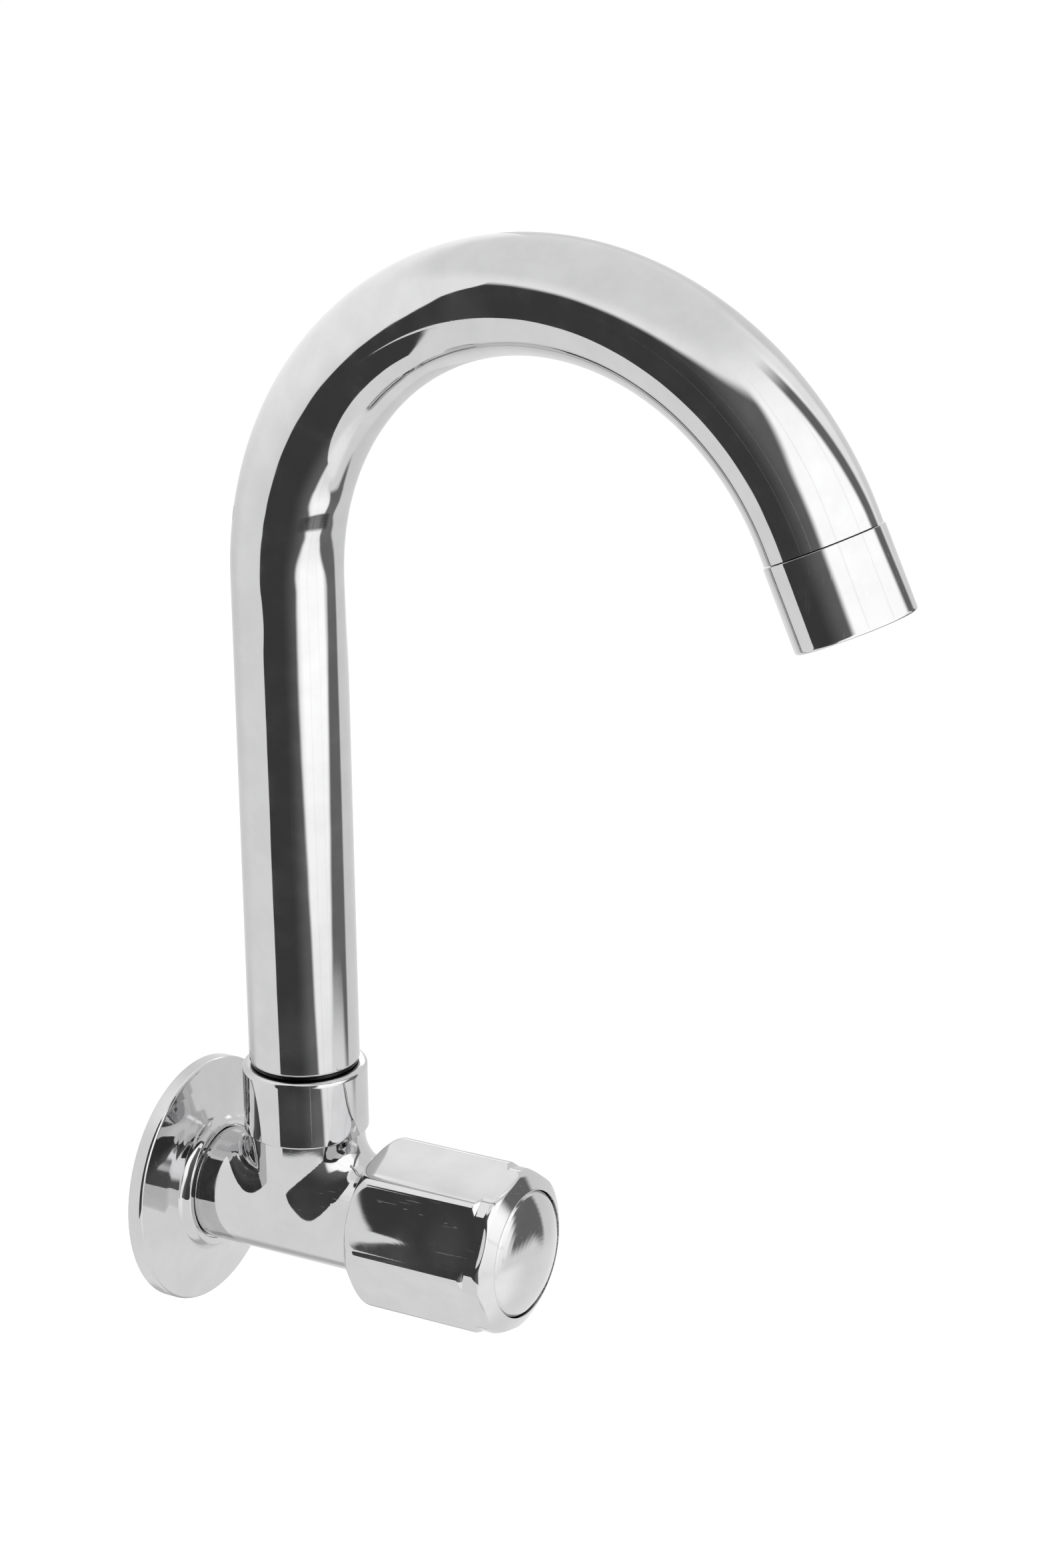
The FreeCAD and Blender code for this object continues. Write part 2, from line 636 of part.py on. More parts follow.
# Fine screen in the recess above the cells
def make_aerator_screen():
    body = piece("aerator_screen", OUTLET)
    top = "-nipple_length - aerator_washer_thickness - screen_depth + screen_thickness"
    radius = "nipple_bore - running_play"
    turned_upright(body, "disc", [
        ("0", f"{top} - screen_thickness"),
        (radius, f"{top} - screen_thickness"),
        (radius, top),
        ("0", top),
    ])
    holes = empty_sketch(body, "hole_outlines", "XY_Plane", lift=f"{top} - screen_thickness")
    for column in range(-4, 5):
        for line in range(-4, 5):
            if abs(column + line) <= 4:
                add_circle(holes, f"screen_pitch * sqrt(3) / 2 * ({column})",
                           f"screen_pitch * ({line} + ({column}) / 2)", "screen_hole")
    prism(body, "holes", holes, "screen_thickness", cut=True, reverse=True)


# Brass headwork: a threaded skirt, a flange, a hexagon for the spanner and a nose for the gland nut
HEAD_BACK = "barrel_length + fibre_washer_thickness"
HEX_BACK = HEAD_BACK + " + headwork_flange_thickness"
HEX_FRONT = HEX_BACK + " + headwork_hex_length"
NOSE_FRONT = HEX_FRONT + " + gland_length"


def make_headwork_body():
    body = piece("headwork_body", LEVEL)
    rear = "barrel_length - headwork_reach + 4 * thread_play"
    thread = "headwork_thread - thread_play"
    turned(body, "turning", [
        (rear, "0"),
        (rear, thread),
        (HEAD_BACK, thread),
        (HEAD_BACK, "headwork_flange"),
        (HEX_BACK, "headwork_flange"),
        (HEX_BACK, "gland_radius"),
        (NOSE_FRONT, "gland_radius"),
        (NOSE_FRONT, "0"),
    ])
    spanner = empty_sketch(body, "spanner_outline", "YZ_Plane", lift=HEX_BACK)
    hexagon(spanner, "headwork_hex")
    prism(body, "spanner_flats", spanner, "headwork_hex_length")
    turned(body, "bore", [
        (rear, "0"),
        (rear, "headwork_skirt"),
        (f"{rear} + skirt_depth", "headwork_skirt"),
        (f"{rear} + skirt_depth", "spindle_radius + running_play"),
        (f"{HEX_FRONT} - guide_length", "spindle_radius + running_play"),
        (f"{HEX_FRONT} - guide_length", "spindle_neck + running_play"),
        (f"{NOSE_FRONT} - packing_depth", "spindle_neck + running_play"),
        (f"{NOSE_FRONT} - packing_depth", "packing_radius"),
        (NOSE_FRONT, "packing_radius"),
        (NOSE_FRONT, "0"),
    ], cut=True)


def make_ring(name, place, inner, outer, start, end):
    body = piece(name, place)
    turned(body, "ring", [(start, inner), (start, outer), (end, outer), (end, inner)])


# Gland: a packing ring, a brass follower and the nut that presses them down
def make_gland():
    box = f"{NOSE_FRONT} - packing_depth"
    ring = "packing_radius - running_play"
    shaft = "spindle_neck + running_play"
    make_ring("gland_packing", LEVEL, shaft, ring, box, f"{box} + packing_length")
    make_ring("gland_follower", LEVEL, shaft, ring, f"{box} + packing_length", NOSE_FRONT)
    body = piece("gland_nut", LEVEL)
    outline = empty_sketch(body, "nut_outline", "YZ_Plane", lift=f"{NOSE_FRONT} - gland_nut_grip")
    hexagon(outline, "gland_nut_hex")
    prism(body, "nut", outline, "gland_nut_grip + gland_nut_cover")
    turned(body, "nut_bore", [
        (f"{NOSE_FRONT} - gland_nut_grip", "0"),
        (f"{NOSE_FRONT} - gland_nut_grip", "gland_radius + thread_play"),
        (NOSE_FRONT, "gland_radius + thread_play"),
        (NOSE_FRONT, shaft),
        (f"{NOSE_FRONT} + gland_nut_cover", shaft),
        (f"{NOSE_FRONT} + gland_nut_cover", "0"),
    ], cut=True)


# Jumper: a plate that carries the washer, with a stem that the spindle pushes
WASHER_BACK = "seat_distance + seat_play"
PLATE_BACK = WASHER_BACK + " + valve_washer_thickness"
PLATE_FRONT = PLATE_BACK + " + jumper_plate"
STUD_END = PLATE_BACK + " - stud_length"


def make_jumper():
    body = piece("jumper_valve", LEVEL)
    turned(body, "turning", [
        (STUD_END, "0"),
        (STUD_END, "stud_radius"),
        (PLATE_BACK, "stud_radius"),
        (PLATE_BACK, "washer_radius"),
        (PLATE_FRONT, "washer_radius"),
        (PLATE_FRONT, "jumper_stem"),
        (f"{PLATE_FRONT} + jumper_reach", "jumper_stem"),
        (f"{PLATE_FRONT} + jumper_reach", "0"),
    ])
    make_ring("jumper_washer", LEVEL, "stud_radius + thread_play", "washer_radius", WASHER_BACK, PLATE_BACK)
    nut = piece("jumper_nut", LEVEL)
    outline = empty_sketch(nut, "nut_outline", "YZ_Plane", lift=f"{WASHER_BACK} - valve_nut_thickness")
    hexagon(outline, "valve_nut")
    add_circle(outline, "0", "0", "stud_radius + thread_play")
    prism(nut, "nut", outline, "valve_nut_thickness")


# Spindle: socket for the jumper, thread, smooth neck and a splined end for the knob
BOSS_BACK = NOSE_FRONT + " + gland_nut_cover + boss_gap"
SPLINE_START = BOSS_BACK + " - spline_lead"
SPLINE_END = "boss_front - spline_gap"


def make_spindle():
    body = piece("spindle", LEVEL_KNOB)
    thread_end = HEX_FRONT + " - guide_length - spindle_lift - lift_play"
    thread_start = thread_end + " - spindle_thread_length"
    turned(body, "turning", [
        ("spindle_nose", "0"),
        ("spindle_nose", "spindle_nose_radius"),
        (thread_start, "spindle_nose_radius"),
        (thread_start, "spindle_radius"),
        (thread_end, "spindle_radius"),
        (thread_end, "spindle_neck"),
        (SPLINE_START, "spindle_neck"),
        (SPLINE_START, "spline_radius"),
        (SPLINE_END, "spline_radius"),
        (SPLINE_END, "0"),
    ])
    turned(body, "jumper_socket", [
        ("spindle_nose", "0"),
        ("spindle_nose", "jumper_stem + running_play"),
        (f"{PLATE_FRONT} + jumper_reach + seat_play", "jumper_stem + running_play"),
        (f"{PLATE_FRONT} + jumper_reach + seat_play", "0"),
    ], cut=True)
    turned(body, "screw_hole", [
        ("boss_front - screw_length - 1", "0"),
        ("boss_front - screw_length - 1", "screw_radius + thread_play"),
        (SPLINE_END, "screw_radius + thread_play"),
        (SPLINE_END, "0"),
    ], cut=True)
    notch = empty_sketch(body, "spline_notch", "YZ_Plane", lift=SPLINE_START)
    add_outline(notch, [
        ("spline_radius - spline_depth", "0"),
        ("spline_radius + spline_depth", "1.2 * spline_depth"),
        ("spline_radius + spline_depth", "-1.2 * spline_depth"),
    ])
    groove = prism(body, "spline_groove", notch, f"{SPLINE_END} - ({SPLINE_START})", cut=True, reverse=True)
    around(body, "spline", groove, "X_Axis", "spline_count")


# Knob: a hollow fluted shell with a splined boss on a web
def make_knob():
    body = piece("knob", LEVEL_KNOB)
    start_radius = "knob_mouth + knob_edge"
    shoulder_radius = "knob_radius - knob_shoulder * (1 - cos(knob_slope))"
    shoulder_start = f"knob_distance + ({shoulder_radius} - {start_radius}) / tan(knob_slope)"
    front_start = "knob_band_end + knob_front_round * sin(knob_front_slope)"
    front_radius = "knob_band - knob_front_round * (1 - cos(knob_front_slope))"
    step = "knob_grip_end + knob_radius - knob_band"
    turned(body, "knob_turning", [
        ("knob_distance", "0"),
        ("knob_distance", start_radius),
        (shoulder_start, shoulder_radius, "right", "knob_shoulder"),
        (f"{shoulder_start} + knob_shoulder * sin(knob_slope)", "knob_radius"),
        ("knob_grip_end", "knob_radius"),
        (step, "knob_band"),
        ("knob_band_end", "knob_band", "right", "knob_front_round"),
        (front_start, front_radius),
        ("knob_face", "cap_radius + cap_play"),
        ("knob_face", "0"),
    ])
    drum = "flute_valley + flute_curve"
    flute = turned(body, "flute", [
        ("knob_distance - 2", "flute_valley"),
        ("flute_end", "flute_valley", "left", "flute_runout"),
        ("flute_end + flute_runout", "flute_valley + flute_runout"),
        ("flute_end + flute_runout", drum),
        ("knob_distance - 2", drum),
    ], cut=True, axis=(("knob_distance - 2", drum), ("flute_end", drum)))
    around(body, "flutes", flute, "X_Axis", "flute_count")
    web_back = "knob_web_front - knob_web"
    turned(body, "rear_hollow", [
        ("knob_distance", "0"),
        ("knob_distance", "knob_mouth"),
        ("knob_cavity_start - (knob_cavity - knob_mouth) / tan(knob_slope)", "knob_mouth"),
        ("knob_cavity_start", "knob_cavity"),
        (web_back, "knob_cavity"),
        (web_back, "boss_radius"),
        (BOSS_BACK, "boss_radius"),
        (BOSS_BACK, "0"),
    ], cut=True)
    cap_seat = "knob_face - cap_rim"
    turned(body, "front_recess", [
        ("knob_face", "0"),
        ("knob_face", "cap_radius + cap_play"),
        (cap_seat, "cap_radius + cap_play"),
        (cap_seat, "cap_skirt + cap_play"),
        ("knob_web_front", "cap_skirt + cap_play"),
        ("knob_web_front", "boss_radius"),
        ("boss_front", "boss_radius"),
        ("boss_front", "0"),
    ], cut=True)
    socket_end = SPLINE_END + " + 4 * running_play"
    turned(body, "socket", [
        (BOSS_BACK, "0"),
        (BOSS_BACK, "spline_radius + running_play"),
        (socket_end, "spline_radius + running_play"),
        (socket_end, "screw_radius + screw_play"),
        ("boss_front", "screw_radius + screw_play"),
        ("boss_front", "0"),
    ], cut=True)


# Screw that holds the knob on the spindle
def make_knob_screw():
    body = piece("knob_screw", LEVEL_KNOB)
    turned(body, "screw", [
        ("boss_front - screw_length", "0"),
        ("boss_front - screw_length", "screw_radius"),
        ("boss_front", "screw_radius"),
        ("boss_front", "screw_head_radius"),
        ("boss_front + screw_head_height", "screw_head_radius"),
        ("boss_front + screw_head_height", "0"),
    ])
    slot = empty_sketch(body, "slot_outline", "YZ_Plane",
                        lift="boss_front + screw_head_height - screw_slot_depth")
    add_outline(slot, [
        ("-screw_head_radius * 1.1", "-screw_slot / 2"),
        ("screw_head_radius * 1.1", "-screw_slot / 2"),
        ("screw_head_radius * 1.1", "screw_slot / 2"),
        ("-screw_head_radius * 1.1", "screw_slot / 2"),
    ])
    prism(body, "slot", slot, "screw_slot_depth", cut=True, reverse=True)


# Index cap: a domed cover that clips into the front of the knob
def make_index_cap():
    body = piece("index_cap", LEVEL_KNOB)
    seat = "knob_face - cap_rim"
    inner = "cap_skirt - cap_sheet"
    dome_depth = "(cap_dome - sqrt(cap_dome ^ 2 - (cap_radius - cap_rim / 4) ^ 2))"
    turned(body, "dome", [
        (seat, "cap_radius"),
        ("knob_face + cap_bulge - " + dome_depth + " - cap_rim / 4", "cap_radius"),
        ("knob_face + cap_bulge - " + dome_depth, "cap_radius - cap_rim / 4", "right", "cap_dome"),
        ("knob_face + cap_bulge", "0"),
        ("knob_face + cap_bulge - cap_sheet", "0", "left", "cap_dome - cap_sheet"),
        (f"knob_face + cap_bulge - cap_dome + sqrt((cap_dome - cap_sheet) ^ 2 - ({inner}) ^ 2)", inner),
        (f"{seat} - cap_skirt_length", inner),
        (f"{seat} - cap_skirt_length", "cap_skirt"),
        (seat, "cap_skirt"),
    ])


make_tap_body()
make_wall_flange()
make_swivel_collar()
make_headwork_body()
make_ring("headwork_washer", LEVEL, "headwork_thread", "headwork_flange", "barrel_length", HEAD_BACK)
make_gland()
make_jumper()
make_spindle()
make_knob()
make_knob_screw()
make_index_cap()
make_spout_tube()
make_spout_ferrule()
make_spout_seals()
make_slip_washers()
make_snap_ring()
make_outlet_nipple()
make_aerator_shell()
make_aerator_washer()
make_aerator_insert()
make_aerator_screen()

# Nothing is written unless the whole document is sound
doc.recompute()
for item in doc.Objects:
    if "Invalid" in item.State or "Error" in item.State:
        raise ValueError(f"{item.Name} has the state {item.State}")
os.makedirs("parts", exist_ok=True)
for body in parts:
    if body.Shape.isNull() or not body.Shape.isValid():
        raise ValueError(body.Label + " has no sound shape")
for body in parts:
    body.Shape.exportStep(f"parts/{body.Label}.step")
    volume = body.Shape.Volume / 1000
    print(f"{body.Label}: {volume:.2f} cm3, {len(body.Shape.Solids)} solid(s), {len(body.Shape.Faces)} faces")
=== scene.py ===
import math
import bpy
import bmesh
import numpy as np
from mathutils import Matrix, Vector


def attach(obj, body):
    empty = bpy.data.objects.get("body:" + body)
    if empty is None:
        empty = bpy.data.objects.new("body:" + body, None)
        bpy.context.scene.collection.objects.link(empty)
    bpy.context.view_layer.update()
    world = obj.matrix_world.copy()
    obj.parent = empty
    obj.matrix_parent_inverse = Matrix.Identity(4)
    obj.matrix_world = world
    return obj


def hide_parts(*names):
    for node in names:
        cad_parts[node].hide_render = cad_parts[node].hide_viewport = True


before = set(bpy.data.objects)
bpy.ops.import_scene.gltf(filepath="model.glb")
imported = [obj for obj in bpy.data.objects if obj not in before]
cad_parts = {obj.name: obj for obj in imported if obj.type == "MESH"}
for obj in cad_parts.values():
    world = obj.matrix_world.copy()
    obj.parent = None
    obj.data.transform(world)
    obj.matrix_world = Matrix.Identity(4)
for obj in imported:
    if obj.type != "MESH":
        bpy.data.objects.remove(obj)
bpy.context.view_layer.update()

# Camera: a long lens, a little above the tap and round to the side of the knob,
# so that the level line runs forward to the right and the spout arches over it.
turn, tilt, roll = (math.radians(angle) for angle in (-60.25, 19.31, -0.73))
stand = Vector((-0.65548, -0.46395, 0.37672))
back = Vector((math.sin(turn) * math.cos(tilt), -math.cos(turn) * math.cos(tilt), math.sin(tilt)))
side = Vector((math.cos(turn), math.sin(turn), 0))
upward = back.cross(side)
level = math.cos(roll) * side + math.sin(roll) * upward
upright = -math.sin(roll) * side + math.cos(roll) * upward
lens = bpy.data.cameras.new("camera")
lens.sensor_width = 36
lens.lens = 85.41
lens.clip_start = 0.05
lens.clip_end = 50
camera = bpy.data.objects.new("camera", lens)
bpy.context.scene.collection.objects.link(camera)
camera.matrix_world = Matrix((*zip(level, upright, back, stand), (0, 0, 0, 1)))
bpy.context.scene.camera = camera
bpy.context.scene.view_settings.view_transform = "Standard"


# Studio air: plain white light from all round, with one large soft lamp over the tap.
# What the camera and the metal see of the room is clean white.
class Shade:
    """A socket of one material, and arithmetic on it."""

    def __init__(self, tree, socket=None):
        self.tree = tree
        self.socket = socket

    def node(self, kind, settings=None, out=0, **inputs):
        """A new node; an input is named after its socket, or i0, i1 and so on for its place."""
        made = self.tree.nodes.new("ShaderNode" + kind)
        for name, value in (settings or {}).items():
            if name == "stops":
                ramp = made.color_ramp.elements
                for stop, (place, colour) in zip(ramp, value):
                    stop.position = place
                    stop.color = (*colour, 1)
            else:
                setattr(made, name, value)
        for name, value in inputs.items():
            key = int(name[1:]) if name[1:].isdigit() else name.replace("_", " ")
            if isinstance(value, Shade):
                self.tree.links.new(value.socket, made.inputs[key])
            else:
                made.inputs[key].default_value = value
        return Shade(self.tree, made.outputs[out] if made.outputs else None)

    def maths(self, operation, *others):
        inputs = {f"i{place}": value for place, value in enumerate((self, *others))}
        return self.node("Math", {"operation": operation}, **inputs)

    def __add__(self, other):
        return self.maths("ADD", other)

    def __sub__(self, other):
        return self.maths("SUBTRACT", other)

    def __rsub__(self, other):
        return self.node("Math", {"operation": "SUBTRACT"}, i0=other, i1=self)

    def __mul__(self, other):
        return self.maths("MULTIPLY", other)

    __radd__ = __add__
    __rmul__ = __mul__

    def between(self, low, high):
        """0 below low, 1 above high, and a smooth rise from one to the other."""
        return self.node("MapRange", {"interpolation_type": "SMOOTHSTEP"},
                         Value=self, From_Min=low, From_Max=high)

    def cover(self, value, share):
        """This, with value laid over it where share is 1."""
        return self + (value - self) * share

    def turn_from(self, other):
        return other.maths("ARCTAN2", self) * (180 / math.pi)


def seen_as_white(air):
    rays = [air.node("LightPath", out=name)
            for name in ("Is Camera Ray", "Is Glossy Ray", "Is Transmission Ray")]
    return (rays[0] + rays[1] + rays[2]).maths("MINIMUM", 1)


room_light = 0.8
world = bpy.data.worlds.new("studio")
bpy.context.scene.world = world
world.use_nodes = True
world.node_tree.nodes.clear()
air = Shade(world.node_tree)
light = room_light + (1 - room_light) * seen_as_white(air)
air.node("OutputWorld", Surface=air.node("Background", Color=(1, 1, 1, 1), Strength=light))

lamp = bpy.data.lights.new("soft_lamp", "AREA")
lamp.size = 1.2
lamp.energy = 9
soft_lamp = bpy.data.objects.new("soft_lamp", lamp)
bpy.context.scene.collection.objects.link(soft_lamp)
soft_lamp.location = (-0.5, -0.5, 1.6)
aim = Vector((0, -0.08, 0.08)) - soft_lamp.location
soft_lamp.rotation_euler = aim.to_track_quat("-Z", "Y").to_euler()
soft_lamp.visible_glossy = False


# Floor: a plain pale sheet far below the tap, which is held up as if by its wall.
# It keeps the tap's shadow, and the metal sees the room's white in its place.
def start_material(name):
    made = bpy.data.materials.new(name)
    made.use_nodes = True
    made.node_tree.nodes.clear()
    return made, Shade(made.node_tree)


def add_object(name, mesh, material):
    made = bpy.data.objects.new(name, mesh)
    bpy.context.scene.collection.objects.link(made)
    mesh.materials.append(material)
    return made


floor_half, floor_level, floor_glow = 6, -0.8, 0.4
paper, shade = start_material("pale_floor")
matte = shade.node("BsdfDiffuse", Color=(0.9, 0.9, 0.9, 1))
glow = shade.node("Emission", Color=(1, 1, 1, 1), Strength=floor_glow * seen_as_white(shade))
shade.node("OutputMaterial", Surface=shade.node("AddShader", i0=matte, i1=glow))
sheet = bpy.data.meshes.new("floor")
corner_signs = ((-1, -1), (1, -1), (1, 1), (-1, 1))
sheet.from_pydata([(x * floor_half, y * floor_half, floor_level) for x, y in corner_signs],
                  [], [(0, 1, 2, 3)])
floor = add_object("floor", sheet, paper)
floor.visible_glossy = False


# Light tent: a round tent of white cloth, lit from outside, hangs close round the tap. A black
# card, a lamp's bright patch and the dark gap of its door are what the metal mirrors as its bands.
# Its formula works in degrees: turned goes round the tent, and raised goes up from level.
tent_radius, tent_middle, tent_turn = 0.2, (0, -0.08, 0.11), math.radians(-150.25)
tent_cloth, tone = start_material("tent_cloth")
towards = tone.node("VectorMath", {"operation": "NORMALIZE"},
                    i0=tone.node("TexCoord", out="Object"))
across, along, up = (tone.node("SeparateXYZ", out=axis, Vector=towards) for axis in "XYZ")
turned = across.turn_from(along)
raised = up.maths("ARCSINE") * (180 / math.pi)
below = (-16 - raised).maths("MAXIMUM", 0)


def within(middle, half_width, angle, softness):
    """1 where an angle is near the middle, 0 outside the half width, with a soft edge."""
    off = (angle - middle).maths("ABSOLUTE")
    return 1 - off.between(half_width - softness, half_width + softness)


def band(start, full, fade, end):
    """1 in a band round the tent, which fades in from start to full and out from fade to end."""
    return raised.between(start, full) * (1 - raised.between(fade, end))


# The cloth, with its shaded folds, a lit strip at the back and a lit skirt.
cloth = 0.95 + 0.19 * band(0, 32, 54, 66)
wall_fold = 0.9 * within(-136, 18, turned, 16) * (1 - raised.between(0, 30))
cloth = cloth.cover(0.80, wall_fold)
deep_fold = 0.8 * within(-126, 9, turned, 5) * (1 - raised.between(-46, -24))
cloth = cloth.cover(0.50, deep_fold)
door_side = turned.between(96, 110) * band(-56, -46, 54, 66)
cloth = cloth.cover(0.84, door_side)
back_strip = turned.maths("ABSOLUTE").between(157, 171) * band(-12, -2, 3, 10)
cloth = cloth.cover(1.6, back_strip)
lit_skirt = within(44, 34, turned, 16) * band(-84, -62, -54, -48)
cloth = cloth.cover(1.18, lit_skirt)

# The lamp's patch, which leans at its top and narrows to its foot, with two seams of the cloth.
leaning = turned - 0.6 * (raised - 34).maths("MAXIMUM", 0)
patch = leaning.between(0, 22) * (1 - (turned - 84 + 0.65 * below).between(-8, 2))
seams = within(35, 0.7, turned, 0.6) + within(61, 0.6, turned, 0.5)
cloth = cloth.cover(1.5 - 0.011 * below - 0.16 * seams, patch * band(-58, -46, 44, 64))

# The door's gap, which slants one way over the tap's level line and the other way under it.
upper_gap = within(108, 7, turned + 0.75 * raised, 3)
lower_gap = (turned - 94 - 0.6 * raised).between(-4, 4) * (1 - turned.between(115, 122))
foot_of_gap = (raised + 6 * turned.between(98, 114)).between(-46, -37)
gap = upper_gap.cover(lower_gap, 1 - raised.between(-6, 4)) * foot_of_gap
cloth = cloth.cover(0.18, gap * (1 - raised.between(52, 60)))

# The black card, wider at its top, with a small notch in the side that it starts from.
card_side = 5 + 12 * raised.between(-14, 8) + 9 * raised.between(34, 50) + 0.5 * below
notch = within(-4.5, 1.8, raised, 1.5)
card_start = turned + 6 * raised.between(-10, 10) - 3 * notch - 5 * raised.between(38, 54)
card_foot = (raised + 0.1 * turned).between(-51.9, -51.3)
card = card_start.between(-64.6, -63.9) * (1 - (turned - card_side).between(-4, 5))
card = card * card_foot * (1 - raised.between(50, 55))
cloth = cloth.cover(0.058 + 0.1 * turned.between(-26, 14), card)

tint = tone.node("CombineXYZ", X=cloth, Y=cloth, Z=cloth)
tone.node("OutputMaterial", Surface=tone.node("Emission", Color=tint, Strength=1.0))
build = bmesh.new()
bmesh.ops.create_uvsphere(build, u_segments=96, v_segments=48, radius=tent_radius)
wall = bpy.data.meshes.new("light_tent")
build.to_mesh(wall)
build.free()
wall.shade_smooth()
tent = add_object("light_tent", wall, tent_cloth)
tent.location = tent_middle
tent.rotation_euler = (0, 0, tent_turn)
tent.visible_camera = False
tent.visible_diffuse = False
tent.visible_shadow = False
tent.visible_transmission = False


# Chrome: nickel and chrome plating over polished brass, wiped by hand. It has faint waves from
# the polishing wheel, fine wiping lines, dull patches, scratches and the marks of a few fingers.
dark_plate, light_plate, grease = (0.625, 0.625, 0.63), (0.665, 0.665, 0.67), (0.8, 0.8, 0.8, 1)
finger_pitch, smear_core, smear_edge = 0.00055, 0.002, 0.0075


def plate_with_chrome(name, lines, seed, touches=(), dents=(), follow=None):
    """Chrome with wiping lines along the axis that has the small number in lines.

    If follow is given, it lays out those lines and adds ripples and a rougher scuff, which is also
    darkened in colour as painted shade. Touches are the places of finger marks, and dents are
    those of short scratches.
    """
    made, tone = start_material(name)
    place = tone.node("TexCoord", out="Object")
    shifted = tone.node("Mapping", Vector=place, Location=(seed, seed * 0.7, -seed))
    runs, ripples, scuff_and_painted_shade = follow(tone, place) if follow else (shifted, 0, 0)
    waves = tone.node("TexNoise", Vector=shifted, Scale=70, Detail=1)
    patches = tone.node("TexNoise", Vector=shifted, Scale=130, Detail=5, Roughness=0.62)
    dull = patches.between(0.45, 0.75)
    stretched = tone.node("Mapping", Vector=runs, Scale=lines)
    wiping = tone.node("TexNoise", Vector=stretched, Scale=900, Detail=3, Roughness=0.7)
    marks = dull * 0
    for spot in touches:
        skin = tone.node("VectorMath", {"operation": "DISTANCE"}, out="Value", i0=place, i1=spot)
        heart = Vector(spot) + Vector((0.002, 0.003, -0.0035))
        loops = tone.node("VectorMath", {"operation": "DISTANCE"}, out="Value", i0=place, i1=heart)
        phase = (loops + 0.002 * waves) * (2 * math.pi / finger_pitch)
        ridges = phase.maths("SINE").between(-0.3, 0.7)
        marks = marks + (0.6 + 0.4 * ridges) * (1 - skin.between(smear_core, smear_edge))
    longer = tone.node("Mapping", Vector=stretched, Scale=lines)
    streaks = tone.node("TexNoise", Vector=longer, Scale=2400, Detail=0)
    scratched = 0.6 * streaks.between(0.77, 0.84)
    for spot in dents:
        off = tone.node("VectorMath", {"operation": "SUBTRACT"}, i0=place, i1=spot)
        off = tone.node("Mapping", Vector=off, Scale=lines)
        near = tone.node("VectorMath", {"operation": "LENGTH"}, out="Value", i0=off)
        scratched = scratched + (1 - near.between(0.00005, 0.00016))
    rough = 0.02 + 0.04 * dull + 0.02 * wiping + 0.15 * scuff_and_painted_shade
    tint = tone.node("ValToRGB", {"stops": [(0.0, dark_plate), (1.0, light_plate)]},
                     Fac=patches.between(0.3, 0.7))
    # Where the scuff is, the colour is darkened: painted shade, a dark reflection painted in.
    tint = tone.node("VectorMath", {"operation": "SCALE"}, i0=tint,
                     Scale=1 - scuff_and_painted_shade * (0.6 + 0.5 * wiping))
    relief = waves * 0.9 + wiping * 0.02 + marks * 0.02 + ripples
    bumped = tone.node("Bump", Height=relief, Strength=1.0, Distance=0.00006)
    clean = tone.node("BsdfPrincipled", Base_Color=tint, Metallic=1.0, Roughness=rough,
                      Normal=bumped)
    greasy = tone.node("BsdfPrincipled", Base_Color=grease, Metallic=1.0, Roughness=0.5,
                       Normal=bumped)
    film = (0.03 * dull + 0.06 * marks + 0.4 * scratched).maths("MINIMUM", 1)
    tone.node("OutputMaterial", Surface=tone.node("MixShader", i0=film, i1=clean, i2=greasy))
    return made


# Tap body: one brass casting, a level barrel and an upright neck with a hand-polished blend where
# they cross. A threaded shank screws into the wall, and the front end takes the headwork.
# Outlines are in millimetres; LEVEL and UPRIGHT place them on the barrel's and the neck's axis.
barrel, neck, blend = 0.01325, 0.0135, 0.0058
crossing, shank_shoulder, barrel_end, neck_top = -0.0309, -0.0005, -0.0542, 0.0203
spout_rest = math.radians(-94.2)
LEVEL = Matrix(((1, 0, 0, 0), (0, 0, -1, 0), (0, 1, 0, 0), (0, 0, 0, 1))) @ Matrix.Scale(0.001, 4)
UPRIGHT = (Matrix.Translation((0, crossing, 0)) @ Matrix.Rotation(spout_rest, 4, "Z")
           @ Matrix.Scale(0.001, 4))


def round_corners(corners, steps=8):
    """An outline in millimetres along and out from an axis; a corner's third value rounds it.

    Extra points close to the ends of each straight run keep its shading straight.
    """
    line = []
    for place, (along, out, radius) in enumerate(corners):
        here = Vector((along, out))
        if not radius:
            line.append(here)
            continue
        before = Vector(corners[place - 1][:2]) - here
        after = Vector(corners[(place + 1) % len(corners)][:2]) - here
        half = before.angle(after) / 2
        reach = min(radius / math.tan(half), 0.49 * before.length, 0.49 * after.length)
        start, finish = here + before.normalized() * reach, here + after.normalized() * reach
        middle = here + (start + finish - 2 * here).normalized() * reach / math.cos(half)
        sweep = (start - middle).angle(finish - middle)
        for step in range(steps + 1):
            share = step / steps
            line.append(middle + ((start - middle) * math.sin((1 - share) * sweep)
                                  + (finish - middle) * math.sin(share * sweep)) / math.sin(sweep))
    guard, guarded = 0.05, []
    for here, after in zip(line, line[1:] + line[:1]):
        gap = (after - here).length
        guarded.append(here)
        if gap > 10 * guard:
            guarded += [here.lerp(after, guard / gap), here.lerp(after, 1 - guard / gap)]
    return guarded


def skin_rings(build, rings, place, closed=True):
    """Faces over rings of points; all rings have the same number of points."""
    loops = [[build.verts.new(place @ Vector(point)) for point in ring] for ring in rings]
    for low, high in zip(loops, loops[1:] + (loops[:1] if closed else [])):
        for corner in range(len(low)):
            after = (corner + 1) % len(low)
            build.faces.new((low[corner], low[after], high[after], high[corner]))


def lathe_rings(outline, count=144):
    angles = [2 * math.pi * step / count for step in range(count)]
    return [[(out * math.cos(angle), out * math.sin(angle), along) for angle in angles]
            for along, out in outline]


